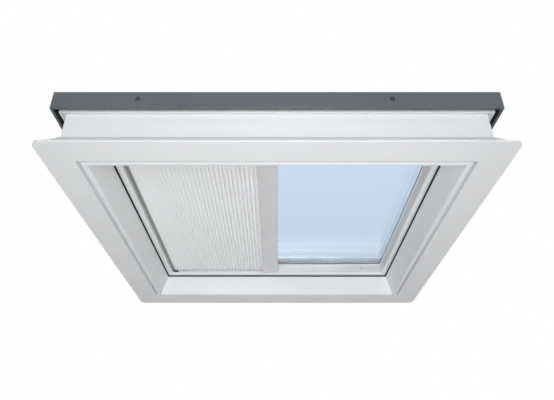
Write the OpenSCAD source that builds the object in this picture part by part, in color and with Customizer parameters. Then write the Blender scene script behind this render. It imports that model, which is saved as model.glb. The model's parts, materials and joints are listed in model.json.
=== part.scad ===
// Flat-roof skylight: kerb with roof flange, hinged glazed sash, flat glass cover, pleated blind.
// Millimetres, +Z up. The origin is the centre of the opening, on the flange's underside.
// The near side, with the opener, is -Y. The hinge side is +Y.

/* [Kerb] */
// Clear opening at the flange, side to side
opening = 900; // [800:10:1200]
// Reach of the flange beyond the opening
flange_reach = 100; // [92:1:130]
// Thickness of the flange at its edge
flange_t = 2.2; // [2:0.1:5]
// Rounding of the flange's corners
flange_corner = 24; // [10:1:30]
// Outer face of the kerb beyond the opening
kerb_reach = 55; // [52:1:60]
// Height of the kerb's top
kerb_h = 120; // [110:1:140]
// Height of the ledge that carries the seal
ledge_h = 65.5; // [60:0.5:68]
// Lean of the lining, from the flange to the ledge
lining_lean = 24; // [20:0.5:30]
// Width of the bead round the opening
bead_w = 11.5; // [8:0.5:16]
// Width of the bead's sloping outer side
bead_slope = 4.5; // [2:0.5:6]
// Width of the groove outside the bead
groove_w = 6; // [3:0.5:8]
// Depth of the groove
groove_d = 14.5; // [8:0.5:16]
// Height at which the flange's slope meets the kerb
slope_h = 45.5; // [40:0.5:52]
// Distance of the step in the slope from the kerb
step_reach = 17; // [14:0.5:20]
// Height of the step in the slope
step_rise = 23.5; // [20:0.5:26]
// Reach of the kerb's outer lip
lip_w = 13; // [6:1:16]
// Height of the lip's hooked edge
lip_h = 8; // [6:0.5:12]

/* [Seal] */
// Width of the compression seal
seal_w = 12; // [11:0.5:16]
// Overhang of the seal inside the ledge
seal_reach = 3.8; // [2:0.1:4]
// Height of the seal under the closed sash
seal_h = 3.2; // [2.5:0.1:5]

/* [Sash] */
// Overhang of the sash inside the ledge
sash_reveal = 17.5; // [14:0.5:22]
// Width of the sash, inner nose to outer face
sash_w = 47.5; // [42:0.5:50]
// Height of the sash from its underside to the glass seat
seat_h = 41; // [38:0.5:46]
// Thickness of the upstand round the glass
upstand_t = 7; // [6:0.5:9]
// Gap round the sash in the kerb
rebate_gap = 5; // [4:0.5:7]

/* [Glazing] */
// Height of the gasket under the glass
inner_gasket_h = 2; // [1.5:0.5:5]
// Thickness of the inner pane
inner_pane_t = 6; // [4:0.5:8]
// Space between the panes
cavity = 14; // [12:1:18]
// Thickness of the outer pane
outer_pane_t = 4; // [3:0.5:6]
// Room round the glass for the setting blocks
glass_gap = 3; // [2:0.5:5]
// Height of the gasket over the glass
outer_gasket_h = 2.5; // [1.5:0.5:4]
// Height of the glazing bead
glazing_bead_h = 7.5; // [6:0.5:10]

/* [Cover] */
// Outer face of the cover's skirt beyond the opening
cover_reach = 85; // [82:1:92]
// Depth of the skirt
skirt_h = 40.5; // [36:0.5:46]
// Wall of the cover frame
cover_wall = 3.5; // [2.5:0.5:4.5]
// Width of the lip turned in at the skirt's foot
return_w = 7; // [6:0.5:10]
// Height of the gasket under the cover glass
cover_gasket_h = 2; // [1:0.5:4]
// Thickness of the cover glass
cover_glass_t = 6; // [4:0.5:8]
// Thickness of the rim round the cover glass
rim_t = 3; // [2:0.5:4]
// Distance of the plugs from their middle
plug_pitch = 301.5; // [150:0.5:320]
// Shift of the plugs' middle along a side
plug_shift = -28; // [-30:1:30]
// Height of the plugs above the skirt's foot
plug_rise = 26; // [12:0.5:30]
// Diameter of a plug's cap
plug_d = 13; // [11:0.5:16]

/* [Hinges] */
// Distance of the hinges from the middle of the far side
hinge_pitch = 330; // [200:10:350]
// Diameter of the hinge pin
pin_d = 6; // [5:0.5:7]
// Outside diameter of the hinge barrel
barrel_d = 12; // [10:0.5:13]
// Length of a hinge leaf
leaf_l = 60; // [50:1:80]
// Thickness of a hinge leaf
leaf_t = 3; // [2.5:0.5:3.5]

/* [Opener] */
// Length of the opener
opener_l = 420; // [300:10:480]
// Width of the opener
opener_w = 34; // [28:1:36]
// Height of the opener
opener_h = 18; // [14:0.5:22]
// Least room between the opener and the cover
cover_room = 6; // [5:0.5:10]

/* [Blind] */
// Height of a guide rail
rail_h = 26.5; // [25:0.5:28]
// Depth of a guide rail
rail_d = 9; // [8:0.5:12]
// Wall of a guide rail
rail_t = 2; // [1.5:0.1:2.5]
// Width of the pull bar
bar_w = 57; // [45:1:70]
// Place of the pull bar's middle, from the middle of the skylight
bar_x = -25.5; // [-60:0.5:60]
// Thickness of the bar's face plate
face_t = 1.7; // [1.4:0.1:2.0]
// Wall of the bar
bar_wall = 1.8; // [1.4:0.1:2.5]
// Number of pleats
pleats = 29; // [20:1:36]
// Depth of a pleat
pleat_h = 13; // [11:0.5:18]
// Thickness of the cloth
cloth_t = 0.6; // [0.4:0.1:0.9]
// Width of the end rail that holds the cloth
end_rail_w = 12.5; // [9:0.5:16]

/* [Fits] */
// Gap between pieces that move past each other
clear = 0.3; // [0.2:0.1:0.5]
// Radial running clearance of the hinge pin
pin_fit = 0.05; // [0.02:0.01:0.1]
// Radial gap round a screw or plug
screw_fit = 0.1; // [0.05:0.05:0.2]

/* [Hidden] */
$fn = 32;

// Colours
pvc = [0.90, 0.91, 0.92];
black = [0.07, 0.07, 0.08];
grey = [0.38, 0.40, 0.42];
aluminium = [0.70, 0.71, 0.72];
steel = [0.62, 0.63, 0.65];
glass = [0.75, 0.86, 0.94, 0.35];
cloth = [0.93, 0.93, 0.93];

// Distances from the centre
opening_r = opening / 2;
flange_r = opening_r + flange_reach;
kerb_r = opening_r + kerb_reach;
ledge_r = opening_r - lining_lean;
nose_r = ledge_r - sash_reveal;
sash_r = nose_r + sash_w;
rebate_r = sash_r + rebate_gap;
nose_w = 2.5;
wall_r = nose_r - nose_w;
sight_r = wall_r - nose_w;
upstand_r = sash_r - upstand_t;
glass_r = upstand_r - glass_gap;
cover_r = opening_r + cover_reach;
reach = 2 * flange_r;

// Heights
sash_z = ledge_h + seal_h + clear;
seat_z = sash_z + seat_h;
inner_z = seat_z + inner_gasket_h;
cavity_z = inner_z + inner_pane_t;
outer_z = cavity_z + cavity;
outer_gasket_z = outer_z + outer_pane_t;
glazing_bead_z = outer_gasket_z + outer_gasket_h;
web_z = max(glazing_bead_z + glazing_bead_h, kerb_h + opener_h + cover_room);
cover_gasket_z = web_z + cover_wall;
cover_glass_z = cover_gasket_z + cover_gasket_h;
skirt_z = cover_gasket_z - skirt_h;
rim_z = cover_glass_z + cover_glass_t;
edge_cut = 2;

// Hinge axis, halfway between the kerb's top and the cover
hinge_y = (rebate_r + kerb_r) / 2 + leaf_t;
hinge_z = (kerb_h + web_z) / 2;
knuckle_l = leaf_l / 3;
leaf_edge = 4;
leaf_w = kerb_r - rebate_r - 2 * leaf_edge;

// Opener, on the near side of the kerb
opener_y = -(rebate_r + kerb_r) / 2;
slot_l = 30;
slot_w = 14;
slot_d = 11;
cap_t = 4;

// Blind
rail_set = 5.5;
rail_z = sash_z + rail_set;
rail_in_z = rail_z + rail_t;
rail_in_h = rail_h - 2 * rail_t;
rail_r = wall_r - rail_d;
rail_back_r = wall_r - rail_t;
bar_half = rail_r - clear;
face_overhang = 3;
bar_box_w = bar_w - 2 * face_overhang;
bar_face_z = rail_z - clear - face_t;
bar_top_gap = 2;
bar_top_z = rail_in_z + rail_in_h - bar_top_gap;
strip_t = 1.5;
cloth_x0 = -(wall_r - end_rail_w);
cloth_x1 = bar_x - bar_box_w / 2 - strip_t - clear;
cloth_gap = 1.2;
cloth_z = rail_in_z + cloth_gap;
cloth_h = min(pleat_h, rail_in_h - 2 * cloth_gap);
cloth_half = rail_back_r - cloth_gap / 2;
pitch = (cloth_x1 - cloth_x0) / pleats;

// Fasteners
screw_d = 4;
head_d = 7.6;
head_h = 2;
head_rim = 0.3;
screw_pitch = 300;
rail_screw_pitch = 330;
plug_hole_d = 10;
plug_z = skirt_z + plug_rise;

// Outline of a square with rounded corners, reaching r from the centre
module rounded_square(r, corner) {
    square([2 * (r - corner), 2 * r], center = true);
    square([2 * r, 2 * (r - corner)], center = true);
    for (x = [-1, 1], y = [-1, 1])
        translate([x * (r - corner), y * (r - corner)])
            circle(corner);
}

// Four mitred lengths of one profile, its points given as [distance from centre, height]
module ring(profile, mitre_gap = 0) {
    for (turn = [0:90:270])
        rotate(turn)
            intersection() {
                rotate([90, 0, 0])
                    linear_extrude(height = 2 * reach, center = true)
                        polygon(profile);
                translate([mitre_gap, 0, -reach])
                    linear_extrude(height = 2 * reach)
                        polygon([[0, 0], [reach, -reach], [reach, reach]]);
            }
}

// A square ring with upright walls
module frame_bar(inner_r, outer_r, z, h) {
    ring([[inner_r, z], [outer_r, z], [outer_r, z + h], [inner_r, z + h]]);
}

// A square sheet of glass with its arrises taken off
module pane(r, z, t, corner) {
    translate([0, 0, z])
        linear_extrude(height = t)
            rounded_square(r, corner);
}

// A countersunk screw, its head's top at the origin and its shank along -Z
module screw(length) {
    rotate_extrude()
        polygon([
            [0, 0], [head_d / 2, 0], [head_d / 2, -head_rim], [screw_d / 2, -head_h],
            [screw_d / 2, -length], [0, -length]
        ]);
}

// The hole that a countersunk screw fits
module screw_hole(length) {
    rotate_extrude()
        polygon([
            [0, 1], [head_d / 2 + screw_fit, 1], [head_d / 2 + screw_fit, -head_rim],
            [screw_d / 2 + screw_fit, -head_h], [screw_d / 2 + screw_fit, -length], [0, -length]
        ]);
}

// Places of the cover's screws, round the upstand
module at_cover_screws() {
    for (turn = [0:90:270], along = [-1, 0, 1])
        rotate(turn)
            translate([sash_r - upstand_t / 2, along * screw_pitch, cover_gasket_z])
                children();
}

// Places of the plugs, round the skirt, their axes pointing out
module at_plugs() {
    for (turn = [0:90:270], along = [-1, 1])
        rotate(turn)
            translate([cover_r, along * plug_pitch + plug_shift, plug_z])
                rotate([0, 90, 0])
                    children();
}

// Places of the hinges, on the hinge axis
module at_hinges() {
    for (side = [-1, 1])
        translate([side * hinge_pitch, hinge_y, hinge_z])
            children();
}

// Places of the screws of the kerb's leaves, on the inner side of the barrel
module at_base_screws() {
    for (side = [-1, 1], along = [-1, 1])
        translate([side * hinge_pitch + along * leaf_l / 3, hinge_y - leaf_w / 3, kerb_h + leaf_t])
            children();
}

// Places of the screws of the sash's leaves, on the outer side of the barrel
module at_sash_screws() {
    for (side = [-1, 1], along = [-1, 1])
        translate([side * hinge_pitch + along * leaf_l / 3, hinge_y + leaf_w / 3, web_z - leaf_t])
            mirror([0, 0, 1])
                children();
}

// Kerb, flange and lining
lip_drop = 2;
lip_z = kerb_h - lip_drop - lip_h;
flange_edge = 0.7;
step_r = kerb_r + step_reach;
step_w = 4;
step_h = 5;
step_lean = 1.5;
hook_t = 4;
seal_foot_w = 4;
seal_foot_h = 5;
seal_foot_set = 3;
seal_foot_r = ledge_r + seal_foot_set;
ledge_edge = 1;
bead_round = 5;
groove_r = opening_r + bead_w + bead_slope;
kerb_profile = concat(
    [
        [flange_r - flange_edge, 0], [flange_r, flange_edge], [flange_r, flange_t - flange_edge],
        [flange_r - flange_edge, flange_t], [step_r + step_w, step_rise], [step_r, step_rise],
        [step_r - step_lean, step_rise + step_h], [kerb_r, slope_h]
    ],
    [
        [kerb_r, lip_z + hook_t], [kerb_r + lip_w - hook_t, lip_z + hook_t], [kerb_r + lip_w - hook_t, lip_z],
        [kerb_r + lip_w, lip_z], [kerb_r + lip_w, lip_z + lip_h], [kerb_r, lip_z + lip_h], [kerb_r, kerb_h],
        [rebate_r, kerb_h], [rebate_r, ledge_h],
        [seal_foot_r + seal_foot_w, ledge_h], [seal_foot_r + seal_foot_w, ledge_h - seal_foot_h],
        [seal_foot_r, ledge_h - seal_foot_h], [seal_foot_r, ledge_h],
        [ledge_r + ledge_edge, ledge_h], [ledge_r, ledge_h - ledge_edge]
    ],
    [for (a = [180:15:270]) [opening_r + bead_round + bead_round * cos(a), bead_round + bead_round * sin(a)]],
    [
        [opening_r + bead_w, 0], [groove_r, groove_d],
        [groove_r + groove_w, groove_d], [groove_r + groove_w, 0]
    ]
);

module base_frame() {
    color(pvc)
        difference() {
            intersection() {
                ring(kerb_profile);
                translate([0, 0, -1])
                    linear_extrude(height = kerb_h + 2)
                        rounded_square(flange_r, flange_corner);
            }
            at_base_screws()
                screw_hole(leaf_screw_l + 1);
        }
}

// Bulb seal with its foot in the ledge's groove
seal_r = ledge_r - seal_reach;
seal_cut = 1;
seal_droop = 1;
module frame_seal() {
    color(black)
        ring([
            [seal_foot_r, ledge_h - seal_foot_h], [seal_foot_r + seal_foot_w, ledge_h - seal_foot_h],
            [seal_foot_r + seal_foot_w, ledge_h], [seal_r + seal_w, ledge_h],
            [seal_r + seal_w, ledge_h + seal_h - seal_cut], [seal_r + seal_w - seal_cut, ledge_h + seal_h],
            [seal_r + seal_cut, ledge_h + seal_h], [seal_r, ledge_h + seal_h - seal_cut],
            [seal_r - seal_droop, ledge_h - seal_droop], [ledge_r - clear, ledge_h - seal_droop],
            [ledge_r + ledge_edge, ledge_h], [seal_foot_r, ledge_h]
        ]);
}

// Sash, with the seat for the glass and the upstand round it
seat_edge = 2;
seat_slope = 5;
nose_h = 2.5;
module sash_frame() {
    color(pvc)
        difference() {
            ring([
                [nose_r, sash_z], [sash_r - edge_cut, sash_z], [sash_r, sash_z + edge_cut], [sash_r, web_z],
                [upstand_r, web_z], [upstand_r, seat_z], [sight_r, seat_z], [sight_r, seat_z - seat_edge],
                [wall_r, seat_z - seat_slope], [wall_r, sash_z + nose_h]
            ]);
            at_cover_screws()
                screw_hole(cover_screw_l + 1);
            at_rail_screws()
                screw_hole(rail_screw_l + 1);
        }
}

// Glazing: gaskets, panes, spacer, sealant, blocks and beads
gasket_lip = 1;
gasket_lip_t = 1.5;
pane_corner = 2;
gasket_w = 12;
module inner_gasket() {
    color(black)
        ring([
            [sight_r, seat_z], [sight_r + gasket_w, seat_z], [sight_r + gasket_w, inner_z],
            [sight_r - gasket_lip, inner_z], [sight_r - gasket_lip, inner_z - gasket_lip_t]
        ]);
}

module inner_pane() {
    color(glass)
        pane(glass_r, inner_z, inner_pane_t, pane_corner);
}

module outer_pane() {
    color(glass)
        pane(glass_r, outer_z, outer_pane_t, pane_corner);
}

// Hollow spacer with a bowed inner face
sealant_w = 6;
spacer_w = 7;
spacer_wall = 1;
spacer_bow = 1;
module spacer_bar() {
    spacer_r = glass_r - sealant_w - spacer_w;
    color(aluminium)
        ring([
            [spacer_r, cavity_z], [spacer_r + spacer_w, cavity_z], [spacer_r + spacer_w, outer_z],
            [spacer_r, outer_z], [spacer_r, outer_z - spacer_wall],
            [spacer_r + spacer_bow, outer_z - 2 * spacer_wall],
            [spacer_r + spacer_bow, cavity_z + 2 * spacer_wall], [spacer_r, cavity_z + spacer_wall]
        ]);
}

sealant_set = 1;
module edge_sealant() {
    color(black)
        frame_bar(glass_r - sealant_w, glass_r - sealant_set, cavity_z, cavity);
}

block_l = 60;
block_pitch = 260;
block_drop = 2;
module setting_blocks() {
    color(grey)
        for (turn = [0:90:270], along = [-1, 1])
            rotate(turn)
                translate([glass_r, along * block_pitch - block_l / 2, seat_z])
                    cube([glass_gap, block_l, outer_gasket_z - seat_z - block_drop]);
}

glazing_bead_w = 21;
glazing_bead_slope = 5;
glazing_bead_edge = 2;
module outer_gasket() {
    color(black)
        frame_bar(glass_r - gasket_w, glass_r, outer_gasket_z, outer_gasket_h);
}

module glazing_beads() {
    color(pvc)
        ring([
            [upstand_r - glazing_bead_w + glazing_bead_slope, glazing_bead_z], [upstand_r, glazing_bead_z],
            [upstand_r, web_z], [upstand_r - glazing_bead_w, web_z],
            [upstand_r - glazing_bead_w, web_z - glazing_bead_edge]
        ], mitre_gap = clear);
}

// Cover: skirt ring, glass, and what holds them
cover_corner = 5;
cover_edge = 1;
module cover_frame() {
    web_r = upstand_r - glazing_bead_w;
    color(grey)
        difference() {
            intersection() {
                ring([
                    [web_r, web_z], [cover_r - cover_wall, web_z],
                    [cover_r - cover_wall, skirt_z + cover_wall],
                    [cover_r - return_w, skirt_z + cover_wall], [cover_r - return_w, skirt_z],
                    [cover_r - cover_edge, skirt_z], [cover_r, skirt_z + cover_edge],
                    [cover_r, rim_z - cover_edge], [cover_r - cover_edge, rim_z], [cover_r - rim_t, rim_z],
                    [cover_r - rim_t, cover_gasket_z], [web_r, cover_gasket_z]
                ]);
                translate([0, 0, skirt_z - 1])
                    linear_extrude(height = rim_z - skirt_z + 2)
                        rounded_square(cover_r, cover_corner);
            }
            at_cover_screws()
                screw_hole(cover_screw_l + 1);
            at_plugs()
                translate([0, 0, -2 * cover_wall])
                    cylinder(d = plug_hole_d, h = 3 * cover_wall);
            at_sash_screws()
                screw_hole(sash_screw_l + screw_fit);
        }
}

cover_gasket_w = 20;
cover_gasket_set = 1;
module cover_gasket() {
    gasket_r = cover_r - rim_t - cover_gasket_set;
    color(black)
        frame_bar(gasket_r - cover_gasket_w, gasket_r, cover_gasket_z, cover_gasket_h);
}

module cover_glass() {
    color(glass)
        pane(cover_r - rim_t - clear, cover_glass_z, cover_glass_t, pane_corner);
}

cover_screw_l = 30;
module cover_screws() {
    color(steel)
        at_cover_screws()
            screw(cover_screw_l);
}

// Plugs in the skirt: a low domed cap on a short stem
plug_cap_t = 1.6;
plug_stem = 1;
module cover_plugs() {
    color(black)
        at_plugs()
            rotate_extrude()
                polygon([
                    [0, -cover_wall - plug_stem], [plug_hole_d / 2 - screw_fit, -cover_wall - plug_stem],
                    [plug_hole_d / 2 - screw_fit, 0], [plug_d / 2, 0], [plug_d / 2, plug_cap_t / 2],
                    [plug_d / 2 - plug_cap_t, plug_cap_t], [0, plug_cap_t]
                ]);
}

// Hinges: a knuckle with the neck that joins it to its plate, seen along the pin
module knuckle(neck_y, to_plate) {
    difference() {
        union() {
            circle(d = barrel_d);
            translate([neck_y, min(to_plate, 0)])
                square([leaf_t, abs(to_plate)]);
        }
        circle(d = pin_d + 2 * pin_fit);
    }
}

// A length along X of an outline drawn in Y and Z, centred on x
module along_x(x, length) {
    translate([x - length / 2, 0, 0])
        rotate([90, 0, 90])
            linear_extrude(height = length)
                children();
}

leaf_screw_l = 16;
screw_short = 0.5;
sash_screw_l = leaf_t + cover_wall - screw_short;
module hinge_base_leaves() {
    drop = kerb_h - hinge_z;
    color(steel)
        difference() {
            at_hinges() {
                for (side = [-1, 1])
                    along_x(side * knuckle_l, knuckle_l - clear)
                        knuckle(barrel_d / 2 - leaf_t, drop);
                translate([-leaf_l / 2, -leaf_w / 2, drop])
                    cube([leaf_l, leaf_w, leaf_t]);
            }
            at_base_screws()
                screw_hole(leaf_screw_l);
        }
}

module hinge_sash_leaves() {
    rise = web_z - hinge_z;
    color(steel)
        difference() {
            at_hinges() {
                along_x(0, knuckle_l - clear)
                    knuckle(-barrel_d / 2, rise);
                translate([-leaf_l / 2, -leaf_w / 2, rise - leaf_t])
                    cube([leaf_l, leaf_w, leaf_t]);
            }
            at_sash_screws()
                screw_hole(sash_screw_l);
        }
}

pin_head_t = 2;
pin_head_over = 3;
pin_over = 2;
module hinge_pins() {
    color(steel)
        at_hinges()
            rotate([0, 90, 0]) {
                cylinder(d = pin_d, h = leaf_l + pin_over, center = true);
                for (side = [-1, 1])
                    translate([0, 0, side * (leaf_l / 2 + pin_head_t / 2 + clear)])
                        cylinder(d = pin_d + pin_head_over, h = pin_head_t, center = true);
            }
}

module hinge_base_screws() {
    color(steel)
        at_base_screws()
            screw(leaf_screw_l);
}

module hinge_sash_screws() {
    color(steel)
        at_sash_screws()
            screw(sash_screw_l);
}

// Opener on the kerb's near side, and its hold on the cover
opener_corner = 3;
module opener_profile() {
    translate([opener_y, kerb_h]) {
        translate([-opener_w / 2, 0])
            square([opener_w, opener_h - opener_corner]);
        translate([-opener_w / 2 + opener_corner, 0])
            square([opener_w - 2 * opener_corner, opener_h]);
        for (side = [-1, 1])
            translate([side * (opener_w / 2 - opener_corner), opener_h - opener_corner])
                circle(opener_corner);
    }
}

module opener_housing() {
    color(aluminium)
        difference() {
            along_x(0, opener_l - 2 * cap_t)
                opener_profile();
            translate([-slot_l / 2, opener_y - slot_w / 2, kerb_h + opener_h - slot_d])
                cube([slot_l, slot_w, slot_d + 1]);
        }
}

module opener_end_caps() {
    color(black)
        for (side = [-1, 1])
            along_x(side * (opener_l - cap_t) / 2, cap_t)
                opener_profile();
}

ear_t = 2.5;
ear_l = 16;
ear_gap = 6;
chain_pin_d = 5;
chain_drop = 4;
chain_z = kerb_h + opener_h - chain_drop;
module opener_bracket() {
    color(steel)
        difference() {
            translate([0, opener_y, 0]) {
                translate([-slot_l / 2, -slot_w, web_z - leaf_t])
                    cube([slot_l, 2 * slot_w, leaf_t]);
                for (side = [-1, 1])
                    translate([-ear_l / 2, side * (ear_gap + ear_t) / 2 - ear_t / 2, chain_z - chain_pin_d])
                        cube([ear_l, ear_t, web_z - chain_z + chain_pin_d - leaf_t]);
            }
            translate([0, opener_y, chain_z])
                rotate([90, 0, 0])
                    cylinder(d = chain_pin_d + 2 * screw_fit, h = 4 * ear_gap, center = true);
        }
}

// The chain's last link, on its pin between the bracket's ears
module chain_end() {
    color(steel)
        translate([0, opener_y, chain_z])
            rotate([90, 0, 0]) {
                cylinder(d = chain_pin_d, h = ear_gap + 2 * ear_t, center = true);
                cylinder(d = 2 * chain_pin_d, h = ear_gap - 2 * clear, center = true);
            }
}

// Blind: guide channels
module at_rail_screws() {
    for (turn = [90, 270], along = [-1, 0, 1])
        rotate(turn)
            translate([rail_back_r, along * rail_screw_pitch, rail_z + rail_h / 2])
                rotate([0, -90, 0])
                    children();
}

rail_screw_l = 20;
module blind_rail(turn) {
    color(aluminium)
        difference() {
            rotate(turn)
                rotate([90, 0, 0])
                    linear_extrude(height = 2 * wall_r, center = true)
                        polygon([
                            [rail_r, rail_z], [wall_r, rail_z],
                            [wall_r, rail_z + rail_h], [rail_r, rail_z + rail_h],
                            [rail_r, rail_z + rail_h - rail_t], [rail_back_r, rail_z + rail_h - rail_t],
                            [rail_back_r, rail_in_z], [rail_r, rail_in_z]
                        ]);
            at_rail_screws()
                screw_hole(rail_screw_l);
        }
}

module blind_rail_near() {
    blind_rail(270);
}

module blind_rail_far() {
    blind_rail(90);
}

module rail_screws() {
    color(steel)
        at_rail_screws()
            screw(rail_screw_l);
}

// The rail that holds the cloth's fixed end
end_rail_foot = 4.5;
end_rail_land = 4;
end_rail_lip = 1.5;
end_rail_slot = 5;
end_rail_z = rail_z + end_rail_foot;
module blind_end_rail() {
    color(aluminium)
        rotate([90, 0, 0])
            linear_extrude(height = 2 * bar_half, center = true)
                polygon([
                    [-wall_r, end_rail_z], [end_rail_land - wall_r, end_rail_z],
                    [end_rail_land - wall_r, end_rail_z + end_rail_slot],
                    [cloth_x0 - end_rail_lip, end_rail_z + end_rail_slot],
                    [cloth_x0 - end_rail_lip, end_rail_z],
                    [cloth_x0, end_rail_z], [cloth_x0, bar_top_z], [-wall_r, bar_top_z]
                ]);
}

// Clips that hold the end rail and the cloth's first fold at the guide channels
clip_l = 18;
clip_w = 4;
clip_post = 6;
clip_drop = 2;
module end_rail_clips() {
    clip_x = cloth_x0 - clear - clip_post;
    clip_z = rail_z - clip_drop;
    color(black)
        for (side = [0, 1])
            mirror([0, side, 0])
                translate([clip_x, bar_half - clip_w, clip_z]) {
                    cube([clip_l, clip_w, cloth_z - clear - clip_z]);
                    cube([clip_post, clip_w, end_rail_z - clear - clip_z]);
                }
}

// Pleated cloth, its folds along Y
function fold(i, lift) = [cloth_x0 + i * pitch / 2, cloth_z + lift + (i % 2 == 1 ? cloth_h - cloth_rise : 0)];
cloth_rise = cloth_t * sqrt(1 + pow(2 * cloth_h / pitch, 2));
module blind_cloth() {
    color(cloth)
        rotate([90, 0, 0])
            linear_extrude(height = 2 * cloth_half, center = true)
                polygon(concat(
                    [for (i = [0:2 * pleats]) fold(i, 0)],
                    [for (i = [2 * pleats:-1:0]) fold(i, cloth_rise)]
                ));
}

// Pull bar: a hollow box behind a face plate with two fine grooves
face_groove = 1;
face_groove_set = 3.5;
module bar_face() {
    difference() {
        square([bar_w, face_t]);
        for (x = [face_groove_set, bar_w - face_groove_set - face_groove])
            translate([x, -1])
                square([face_groove, 1 + face_t / 2]);
    }
}

module bar_box() {
    difference() {
        square([bar_box_w, bar_top_z - bar_face_z - face_t]);
        translate([bar_wall, bar_wall])
            square([bar_box_w - 2 * bar_wall, bar_top_z - bar_face_z - face_t - 2 * bar_wall]);
    }
}

face_gap = 0.5;
face_half = wall_r - face_gap;
module blind_bar() {
    color(aluminium) {
        translate([bar_x - bar_w / 2, 0, bar_face_z])
            rotate([90, 0, 0])
                linear_extrude(height = 2 * face_half, center = true)
                    bar_face();
        translate([bar_x - bar_box_w / 2, 0, bar_face_z + face_t])
            rotate([90, 0, 0])
                linear_extrude(height = 2 * bar_half, center = true)
                    bar_box();
    }
}

// End gliders: a shoe in the guide channel and a tongue in the bar
tongue_l = 25;
module bar_glider(side) {
    glider_z = rail_in_z + clear;
    shoe_h = rail_in_h - 2 * clear;
    tongue_h = bar_top_z - bar_wall - screw_fit - glider_z;
    tongue_w = bar_box_w - 2 * bar_wall - 2 * screw_fit;
    shoe_w = rail_back_r - clear - bar_half;
    color(black)
        mirror([0, side < 0 ? 1 : 0, 0]) {
            translate([bar_x - bar_box_w / 2, bar_half, glider_z])
                cube([bar_box_w, shoe_w, shoe_h]);
            translate([bar_x - tongue_w / 2, bar_half - tongue_l, glider_z])
                cube([tongue_w, tongue_l + shoe_w, tongue_h]);
        }
}

module bar_glider_near() {
    bar_glider(-1);
}

module bar_glider_far() {
    bar_glider(1);
}

strip_h = 16;
strip_set = 2;
module cloth_strip() {
    strip_z = (bar_face_z + bar_top_z - strip_h) / 2;
    color(cloth)
        translate([bar_x - bar_box_w / 2 - strip_t, strip_set - bar_half, strip_z])
            cube([strip_t, 2 * bar_half - 2 * strip_set, strip_h]);
}

base_frame();
frame_seal();
hinge_base_leaves();
hinge_pins();
hinge_base_screws();
opener_housing();
opener_end_caps();
sash_frame();
inner_gasket();
inner_pane();
spacer_bar();
edge_sealant();
outer_pane();
setting_blocks();
outer_gasket();
glazing_beads();
cover_frame();
cover_gasket();
cover_glass();
cover_screws();
cover_plugs();
hinge_sash_leaves();
hinge_sash_screws();
opener_bracket();
chain_end();
blind_rail_near();
blind_rail_far();
blind_end_rail();
end_rail_clips();
rail_screws();
blind_cloth();
blind_bar();
bar_glider_near();
bar_glider_far();
cloth_strip();
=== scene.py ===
import json
import math

import bpy
import numpy as np
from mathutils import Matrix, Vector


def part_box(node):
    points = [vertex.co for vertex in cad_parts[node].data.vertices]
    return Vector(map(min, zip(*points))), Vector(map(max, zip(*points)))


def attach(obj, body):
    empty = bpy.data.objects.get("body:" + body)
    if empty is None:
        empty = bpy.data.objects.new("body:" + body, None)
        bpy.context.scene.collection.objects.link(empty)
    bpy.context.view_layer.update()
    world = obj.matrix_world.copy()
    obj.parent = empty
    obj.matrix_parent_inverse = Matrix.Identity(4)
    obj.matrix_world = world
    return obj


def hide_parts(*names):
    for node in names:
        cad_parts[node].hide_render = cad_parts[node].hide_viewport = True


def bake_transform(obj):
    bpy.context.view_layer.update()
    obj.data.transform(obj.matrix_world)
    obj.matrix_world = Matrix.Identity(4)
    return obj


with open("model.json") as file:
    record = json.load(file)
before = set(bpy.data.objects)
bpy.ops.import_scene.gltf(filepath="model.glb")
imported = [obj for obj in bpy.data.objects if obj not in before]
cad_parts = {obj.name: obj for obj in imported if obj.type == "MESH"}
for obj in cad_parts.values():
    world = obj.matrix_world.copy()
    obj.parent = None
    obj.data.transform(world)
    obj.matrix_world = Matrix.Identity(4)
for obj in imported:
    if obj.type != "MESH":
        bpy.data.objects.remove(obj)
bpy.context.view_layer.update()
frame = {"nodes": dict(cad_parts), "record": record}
NODES = frame["nodes"]
NODE_SLOT = {row["node"]: row["material_slot"] for row in frame["record"]["subparts"]}
NODE_BODY = {node: body for body, nodes in frame["record"]["behaviour"]["bodies"].items() for node in nodes}
MM = 0.001


# Working on one piece at a time

def pick_out(piece):
    bpy.ops.object.select_all(action="DESELECT")
    piece.select_set(True)
    bpy.context.view_layer.objects.active = piece


def in_edit(piece, step):
    pick_out(piece)
    bpy.ops.object.mode_set(mode="EDIT")
    bpy.ops.mesh.select_all(action="SELECT")
    step()
    bpy.ops.object.mode_set(mode="OBJECT")


def apply_modifier(piece, kind, **settings):
    pick_out(piece)
    modifier = piece.modifiers.new(kind.lower(), kind)
    for name, value in settings.items():
        setattr(modifier, name, value)
    bpy.ops.object.modifier_apply(modifier=modifier.name)


def smooth_to(piece, degrees):
    pick_out(piece)
    bpy.ops.object.shade_smooth_by_angle(angle=math.radians(degrees))


def dress(piece, finish):
    piece.data.materials.clear()
    piece.data.materials.append(finish)


# Steps that the finishes share

NOISE_DETAIL = 3.0
NOISE_ROUGHNESS = 0.5
TINT_FROM = 0.35
TINT_TO = 0.65
ROUGHEN_FROM = 0.3
ROUGHEN_TO = 0.7


def new_finish(name):
    finish = bpy.data.materials.new(name)
    finish.use_nodes = True
    tree = finish.node_tree
    return finish, tree, tree.nodes["Principled BSDF"]


def set_inputs(node, values):
    for name, value in values.items():
        node.inputs[name].default_value = value


def place_on(tree, source, scale):
    where = tree.nodes.new("ShaderNodeTexCoord")
    mapping = tree.nodes.new("ShaderNodeMapping")
    set_inputs(mapping, {"Scale": scale})
    tree.links.new(where.outputs[source], mapping.inputs["Vector"])
    return mapping.outputs["Vector"]


def noise_on(tree, vector, scale):
    noise = tree.nodes.new("ShaderNodeTexNoise")
    set_inputs(noise, {"Scale": scale, "Detail": NOISE_DETAIL, "Roughness": NOISE_ROUGHNESS})
    tree.links.new(vector, noise.inputs["Vector"])
    return noise.outputs["Fac"]


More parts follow.
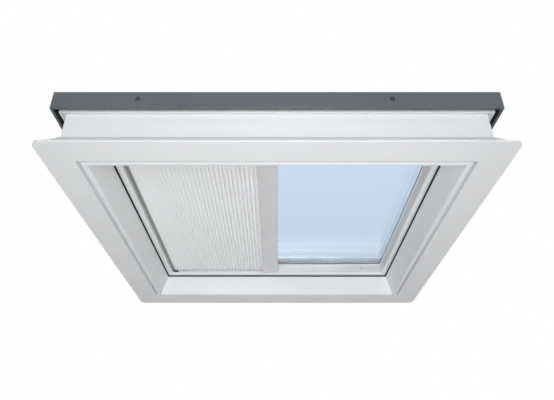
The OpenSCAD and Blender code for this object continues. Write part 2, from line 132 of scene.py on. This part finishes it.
def tint_by(tree, amount, low, high, shader):
    ramp = tree.nodes.new("ShaderNodeValToRGB")
    start, end = ramp.color_ramp.elements
    start.position = TINT_FROM
    end.position = TINT_TO
    start.color = (*low, 1)
    end.color = (*high, 1)
    tree.links.new(amount, ramp.inputs["Fac"])
    tree.links.new(ramp.outputs["Color"], shader.inputs["Base Color"])


def roughen_by(tree, amount, low, high, shader):
    spread = tree.nodes.new("ShaderNodeMapRange")
    set_inputs(spread, {"From Min": ROUGHEN_FROM, "From Max": ROUGHEN_TO, "To Min": low, "To Max": high})
    tree.links.new(amount, spread.inputs["Value"])
    tree.links.new(spread.outputs["Result"], shader.inputs["Roughness"])


def bump_by(tree, amount, strength, depth, shader):
    bump = tree.nodes.new("ShaderNodeBump")
    set_inputs(bump, {"Strength": strength, "Distance": depth})
    tree.links.new(amount, bump.inputs["Height"])
    tree.links.new(bump.outputs["Normal"], shader.inputs["Normal"])


def maths(tree, operation, first, second):
    step = tree.nodes.new("ShaderNodeMath")
    step.operation = operation
    for socket, value in zip(step.inputs, (first, second)):
        if isinstance(value, float):
            socket.default_value = value
        else:
            tree.links.new(value, socket)
    return step.outputs["Value"]


def mix_by(tree, share, first, second, output):
    mix = tree.nodes.new("ShaderNodeMixShader")
    tree.links.new(share, mix.inputs["Fac"])
    tree.links.new(first, mix.inputs[1])
    tree.links.new(second, mix.inputs[2])
    tree.links.new(mix.outputs["Shader"], tree.nodes[output].inputs["Surface"])


# Plastic, rubber, metal and coated finishes

MOTTLE_SCALE = 6.0
GRAINS_PER_PATCH = 8
GRAIN_STRENGTH = 0.35
ALL_WAYS = (1, 1, 1)
DRAWN_ALONG_Y = (1, 0.03, 1)


def moulded(name, low, high, rough, grain, depth, metallic=0.0, drawn=ALL_WAYS, specular=0.5):
    finish, tree, shader = new_finish(name)
    body = place_on(tree, "Object", ALL_WAYS)
    skin = place_on(tree, "Object", drawn)
    tint_by(tree, noise_on(tree, body, MOTTLE_SCALE), low, high, shader)
    roughen_by(tree, noise_on(tree, skin, grain / GRAINS_PER_PATCH), rough[0], rough[1], shader)
    bump_by(tree, noise_on(tree, skin, grain), GRAIN_STRENGTH, depth, shader)
    set_inputs(shader, {"Metallic": metallic, "Specular IOR Level": specular})
    return finish


WHITE_PVC = moulded(
    "satin_white_pvc", low=(0.855, 0.86, 0.866), high=(0.87, 0.874, 0.878),
    rough=(0.44, 0.54), grain=700.0, depth=0.012 * MM, specular=0.4)
BLACK_RUBBER = moulded(
    "matt_black_rubber", low=(0.004, 0.004, 0.005), high=(0.008, 0.008, 0.009),
    rough=(0.55, 0.75), grain=1400.0, depth=0.06 * MM, specular=0.2)
GREY_COAT = moulded(
    "grey_powder_coat", low=(0.092, 0.105, 0.117), high=(0.102, 0.115, 0.127),
    rough=(0.38, 0.52), grain=1800.0, depth=0.04 * MM)
ALUMINIUM = moulded(
    "satin_anodised_aluminium", low=(0.72, 0.72, 0.73), high=(0.78, 0.78, 0.79),
    rough=(0.36, 0.46), grain=1500.0, depth=0.03 * MM, metallic=0.5, drawn=DRAWN_ALONG_Y)
# A darker copy of the satin anodised aluminium: painted shade, so the blind's end rail beside the cloth reads
# dark
SHADED_ALUMINIUM = moulded(
    "shaded_anodised_aluminium", low=(0.42, 0.42, 0.43), high=(0.48, 0.48, 0.49),
    rough=(0.4, 0.5), grain=1500.0, depth=0.03 * MM, metallic=0.6, drawn=DRAWN_ALONG_Y)
# Pale spacer strip, lighter and less metallic than the aluminium: partly a pale edge spacer, partly painted
# light so the strip under the panes reads bright where little light reaches it
PALE_SPACER_WITH_PAINTED_LIGHT = moulded(
    "pale_spacer_strip_painted_light", low=(0.82, 0.83, 0.84), high=(0.87, 0.87, 0.88),
    rough=(0.3, 0.4), grain=1500.0, depth=0.02 * MM, metallic=0.2)
# Pale silicone for the outer gasket: partly a pale seal, partly painted light so the thin band under the
# glass reads light rather than shaded
PALE_SILICONE_WITH_PAINTED_LIGHT = moulded(
    "pale_silicone_painted_light", low=(0.83, 0.835, 0.84), high=(0.87, 0.872, 0.875),
    rough=(0.5, 0.65), grain=1400.0, depth=0.04 * MM)
ZINC = moulded(
    "zinc_plated_steel", low=(0.5, 0.51, 0.52), high=(0.66, 0.66, 0.64),
    rough=(0.28, 0.42), grain=900.0, depth=0.04 * MM, metallic=1.0)
BLACK_PLASTIC = moulded(
    "moulded_black_plastic", low=(0.016, 0.017, 0.018), high=(0.026, 0.027, 0.028),
    rough=(0.4, 0.55), grain=2200.0, depth=0.05 * MM)
WHITE_PLASTIC = moulded(
    "moulded_white_plastic", low=(0.8, 0.8, 0.8), high=(0.85, 0.85, 0.85),
    rough=(0.35, 0.5), grain=1800.0, depth=0.04 * MM)


# Glass, which lets the lamps' light through

GLASS_IOR = 1.5
# Blue tint of the panes: partly the glass's own slight tint, partly painted sky blue that shows through the
# three sheets of glass
PANE_AND_SKY_TINT = (0.868, 0.936, 1.0)
PANE_SHADOW = (0.98, 0.98, 0.98)


def window_glass(name):
    finish, tree, shader = new_finish(name)
    set_inputs(shader, {
        "Base Color": (*PANE_AND_SKY_TINT, 1), "Roughness": 0.0, "IOR": GLASS_IOR, "Transmission Weight": 1.0,
    })
    clear = tree.nodes.new("ShaderNodeBsdfTransparent")
    set_inputs(clear, {"Color": (*PANE_SHADOW, 1)})
    path = tree.nodes.new("ShaderNodeLightPath")
    in_shadow = path.outputs["Is Shadow Ray"]
    mix_by(tree, in_shadow, shader.outputs["BSDF"], clear.outputs["BSDF"], "Material Output")
    return finish


PANE_GLASS = window_glass("clear_pane_glass")
COVER_GLASS = window_glass("cover_sheet_glass")


# Woven cloth, whose threads follow the flat cut

THREADS_SCALE = 500.0
THREADS_WANDER = 0.4
CLOTH_MOTTLE_SCALE = 45.0
THREAD_STRENGTH = 0.05
THREAD_DEPTH = 0.03 * MM
# Near-full white: the cloth's own white, lifted as painted light for the daylight glowing through it
CLOTH_WHITE_AND_GLOW_LOW = (0.975, 0.975, 0.98)
CLOTH_WHITE_AND_GLOW_HIGH = (0.985, 0.985, 0.99)


def pleated_cloth(name, length, width):
    finish, tree, shader = new_finish(name)
    weave = place_on(tree, "UV", (length, width, 1))
    threads = []
    for turn in ("X", "Y"):
        wave = tree.nodes.new("ShaderNodeTexWave")
        wave.bands_direction = turn
        set_inputs(wave, {"Scale": THREADS_SCALE, "Distortion": THREADS_WANDER})
        tree.links.new(weave, wave.inputs["Vector"])
        threads.append(wave.outputs["Fac"])
    both = maths(tree, "ADD", threads[0], threads[1])
    tint_by(tree, noise_on(tree, weave, CLOTH_MOTTLE_SCALE), CLOTH_WHITE_AND_GLOW_LOW, CLOTH_WHITE_AND_GLOW_HIGH, shader)
    bump_by(tree, both, THREAD_STRENGTH, THREAD_DEPTH, shader)
    set_inputs(shader, {
        "Roughness": 0.85, "Specular IOR Level": 0.3,
        "Subsurface Weight": 0.15, "Subsurface Radius": (1.0, 1.0, 1.0), "Subsurface Scale": 2 * MM,
    })
    return finish


# Finishes on the CAD nodes

FINISHES = {
    "white_pvc": WHITE_PVC,
    "black_rubber": BLACK_RUBBER,
    "grey_cover": GREY_COAT,
    "anodised_aluminium": ALUMINIUM,
    "zinc_steel": ZINC,
    "window_glass": PANE_GLASS,
    "cover_sheet_glass": COVER_GLASS,
    "black_plastic": BLACK_PLASTIC,
    "white_plastic": WHITE_PLASTIC,
}
for node, slot in NODE_SLOT.items():
    if slot in FINISHES:
        dress(NODES[node], FINISHES[slot])
# The blind's end rail takes the darker aluminium copy, painted shade in the recess beside the cloth
dress(NODES["blind_end_rail"], SHADED_ALUMINIUM)
# The spacer takes the pale strip, partly painted light
dress(NODES["spacer_bar"], PALE_SPACER_WITH_PAINTED_LIGHT)
# The outer gasket takes the pale silicone, partly painted light
dress(NODES["outer_gasket"], PALE_SILICONE_WITH_PAINTED_LIGHT)


# Pieces with eased edges, made over the CAD solids

EDGE_EASING = {
    "base_frame": 0.6 * MM,
    "sash_frame": 0.6 * MM,
    "cover_frame": 0.8 * MM,
    "glazing_beads": 0.5 * MM,
    "blind_bar": 0.5 * MM,
    "opener_housing": 1.2 * MM,
    "opener_end_caps": 1.0 * MM,
    "frame_seal": 0.6 * MM,
}
EDGE_SEGMENTS = 2
MERGE_WITHIN = 0.01 * MM
FLAT_WITHIN = math.radians(0.5)
ANY_QUAD_SHAPE = math.pi
EASED_FROM = math.radians(28)
SMOOTH_DEGREES = 32


def join_triangles():
    bpy.ops.mesh.customdata_custom_splitnormals_clear()
    bpy.ops.mesh.remove_doubles(threshold=MERGE_WITHIN)
    bpy.ops.mesh.tris_convert_to_quads(face_threshold=FLAT_WITHIN, shape_threshold=ANY_QUAD_SHAPE)


def eased(node, width):
    piece = bpy.data.objects.new("eased_" + node, NODES[node].data.copy())
    bpy.context.scene.collection.objects.link(piece)
    in_edit(piece, join_triangles)
    apply_modifier(piece, "BEVEL", width=width, segments=EDGE_SEGMENTS, limit_method="ANGLE",
                   angle_limit=EASED_FROM, miter_outer="MITER_ARC", use_clamp_overlap=True)
    smooth_to(piece, SMOOTH_DEGREES)
    apply_modifier(piece, "WEIGHTED_NORMAL", weight=100, keep_sharp=True)
    dress(piece, FINISHES[NODE_SLOT[node]])
    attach(piece, NODE_BODY[node])
    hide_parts(node)


for node, width in EDGE_EASING.items():
    eased(node, width)


# Pleated cloth, folded from its flat cut

PLEATS = 29
PANEL_STEPS = 6
STEPS_ACROSS = 24
CLOTH_T = 0.5 * MM
CLOTH_SAG = 0.5 * MM
# Height that the cloth's thickness and sag take from the CAD solid's height
FOLD_ROOM = 1.1 * MM
FOLD_SHARPNESS = 0.97
FOLD_VARIATION = 0.02
FOLD_BEAT = 2.4
# The sag comes in over one part in this many at either end
SAG_EASE = 12
CLOTH_SMOOTH_DEGREES = 60
cloth_low, cloth_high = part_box("blind_cloth")
CLOTH_SPAN = cloth_high.x - cloth_low.x
CLOTH_WIDTH = cloth_high.y - cloth_low.y
FOLD_RISE = cloth_high.z - cloth_low.z - FOLD_ROOM
CLOTH_MID_Z = (cloth_high.z + cloth_low.z) / 2
CLOTH_LENGTH = 2 * PLEATS * math.hypot(CLOTH_SPAN / PLEATS / 2, FOLD_RISE)


def fold_cloth():
    steps_along = 2 * PLEATS * PANEL_STEPS
    bpy.ops.object.select_all(action="DESELECT")
    bpy.ops.mesh.primitive_grid_add(x_subdivisions=steps_along, y_subdivisions=STEPS_ACROSS, size=1)
    cloth = bpy.context.active_object
    cloth.name = "pleated_blind_cloth"
    flat = np.zeros(len(cloth.data.vertices) * 3)
    cloth.data.vertices.foreach_get("co", flat)
    flat = flat.reshape(-1, 3)
    share = flat[:, 0] + 0.5
    panel = share * 2 * PLEATS
    wave = -np.arcsin(FOLD_SHARPNESS * np.cos(math.pi * panel)) / math.asin(FOLD_SHARPNESS)
    unevenness = 1 - FOLD_VARIATION * (1 + np.sin(FOLD_BEAT * np.round(panel)))
    from_ends = np.clip(np.minimum(share, 1 - share) * SAG_EASE, 0, 1)
    sag = CLOTH_SAG * (1 - (2 * flat[:, 1]) ** 2) * from_ends
    folded = np.column_stack((
        cloth_low.x + share * CLOTH_SPAN,
        flat[:, 1] * CLOTH_WIDTH,
        CLOTH_MID_Z + wave * unevenness * FOLD_RISE / 2 - sag,
    ))
    cloth.data.vertices.foreach_set("co", folded.ravel())
    cloth.data.update()
    apply_modifier(cloth, "SOLIDIFY", thickness=CLOTH_T, offset=0.0)
    smooth_to(cloth, CLOTH_SMOOTH_DEGREES)
    return cloth


cloth = fold_cloth()
dress(cloth, pleated_cloth("white_pleated_cloth", CLOTH_LENGTH, CLOTH_WIDTH))
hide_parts("blind_cloth")
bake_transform(cloth)


# White background that the camera, glass and metal see, over the plain light

WHITE = (1, 1, 1, 1)
SOFT_LIGHT = (0.94, 0.97, 1.0, 1)
SOFT_STRENGTH = 0.03
FLOOR_HEIGHT = -2.4
FLOOR_SIZE = 16.0
FLOOR_LOW = (0.79, 0.79, 0.79)
FLOOR_HIGH = (0.81, 0.81, 0.81)
FLOOR_MOTTLE_SCALE = 2.0
# Share of the floor's white that shows in glass and metal
FLOOR_IN_GLOSS = 0.55
HALF_A_BOUNCE = 0.5


def seen_directly(tree, in_gloss=1.0):
    path = tree.nodes.new("ShaderNodeLightPath")
    straight = maths(tree, "MAXIMUM", path.outputs["Is Camera Ray"], path.outputs["Is Transmission Ray"])
    unmirrored = maths(tree, "LESS_THAN", path.outputs["Glossy Depth"], HALF_A_BOUNCE)
    mirrored = maths(tree, "GREATER_THAN", path.outputs["Glossy Depth"], HALF_A_BOUNCE)
    glossy = maths(tree, "MAXIMUM", path.outputs["Is Glossy Ray"], mirrored)
    seen = maths(tree, "MAXIMUM", maths(tree, "MULTIPLY", straight, unmirrored),
                 maths(tree, "MULTIPLY", glossy, in_gloss))
    # A surface that is lit through the glass gets the soft light, not the white
    direct = maths(tree, "LESS_THAN", path.outputs["Diffuse Depth"], HALF_A_BOUNCE)
    return maths(tree, "MULTIPLY", seen, direct)


def world_light():
    world = bpy.data.worlds.new("studio")
    bpy.context.scene.world = world
    world.use_nodes = True
    tree = world.node_tree
    soft = tree.nodes["Background"]
    set_inputs(soft, {"Color": SOFT_LIGHT, "Strength": SOFT_STRENGTH})
    white = tree.nodes.new("ShaderNodeBackground")
    set_inputs(white, {"Color": WHITE, "Strength": 1.0})
    mix_by(tree, seen_directly(tree), soft.outputs["Background"], white.outputs["Background"], "World Output")


def lay_floor():
    bpy.ops.object.select_all(action="DESELECT")
    bpy.ops.mesh.primitive_plane_add(size=FLOOR_SIZE, location=(0, 0, FLOOR_HEIGHT))
    floor = bpy.context.active_object
    floor.name = "floor"
    finish, tree, shader = new_finish("pale_floor")
    spot = place_on(tree, "Object", ALL_WAYS)
    tint_by(tree, noise_on(tree, spot, FLOOR_MOTTLE_SCALE), FLOOR_LOW, FLOOR_HIGH, shader)
    set_inputs(shader, {"Roughness": 0.9, "Specular IOR Level": 0.1})
    white = tree.nodes.new("ShaderNodeEmission")
    set_inputs(white, {"Color": WHITE})
    seen = seen_directly(tree, FLOOR_IN_GLOSS)
    mix_by(tree, seen, shader.outputs["BSDF"], white.outputs["Emission"], "Material Output")
    dress(floor, finish)


# Lamps, in metres and watts

PLAIN_WHITE = (1, 1, 1)
PALE_BLUE = (0.95, 0.98, 1.0)
COOL = (0.86, 0.93, 1.0)
OPENING = (0, 0, 0)
BLIND = (0, 0, 0.05)
GLAZING = (0, 0, 0.1)


def soft_lamp(name, place, aim, size, power, colour=PLAIN_WHITE, mirrored=True):
    data = bpy.data.lights.new(name, "AREA")
    data.shape = "SQUARE"
    data.size = size
    data.energy = power
    data.color = colour
    lamp = bpy.data.objects.new(name, data)
    bpy.context.scene.collection.objects.link(lamp)
    lamp.visible_camera = False
    lamp.visible_transmission = False
    lamp.visible_glossy = mirrored
    lamp.location = place
    toward = Vector(aim) - Vector(place)
    lamp.rotation_euler = toward.to_track_quat("-Z", "Y").to_euler()


def hang_lamps():
    soft_lamp("key_lamp", (0, -3.0, -0.7), BLIND, size=1.4, power=44.0, colour=PALE_BLUE)
    soft_lamp("near_lamp", (0, -1.3, -0.7), BLIND, size=0.5, power=3.4)
    soft_lamp("under_lamp", (0, -0.7, -1.5), OPENING, size=0.8, power=3.9)
    soft_lamp("far_under_lamp", (0, 0.2, -1.6), OPENING, size=1.0, power=4.1)
    soft_lamp("front_lamp", (0, -1.7, 0.8), GLAZING, size=0.6, power=2.5, colour=COOL, mirrored=False)
    soft_lamp("back_lamp", (0, 2.6, 0.55), GLAZING, size=0.5, power=22.0, colour=COOL, mirrored=False)
    soft_lamp("left_lamp", (-2.6, 0, 0.55), GLAZING, size=0.5, power=14.0, colour=COOL, mirrored=False)
    soft_lamp("right_lamp", (2.6, 0, 0.55), GLAZING, size=0.5, power=14.0, colour=COOL, mirrored=False)
    soft_lamp("top_lamp", (0.4, -0.3, 2.4), GLAZING, size=1.4, power=76.0, mirrored=False)


# Camera, placed by the photograph's vanishing points

LENS = 33.307
SENSOR_WIDTH = 36.0
CAMERA_PLACE = (0, -1.4674, -0.6773)
CAMERA_PITCH = math.radians(29.91)


def set_camera():
    data = bpy.data.cameras.new("camera")
    data.lens = LENS
    data.sensor_width = SENSOR_WIDTH
    camera = bpy.data.objects.new("camera", data)
    bpy.context.scene.collection.objects.link(camera)
    camera.location = CAMERA_PLACE
    camera.rotation_euler = (math.pi / 2 + CAMERA_PITCH, 0, 0)
    bpy.context.scene.camera = camera


bpy.context.scene.view_settings.view_transform = "Standard"
world_light()
lay_floor()
hang_lamps()
set_camera()
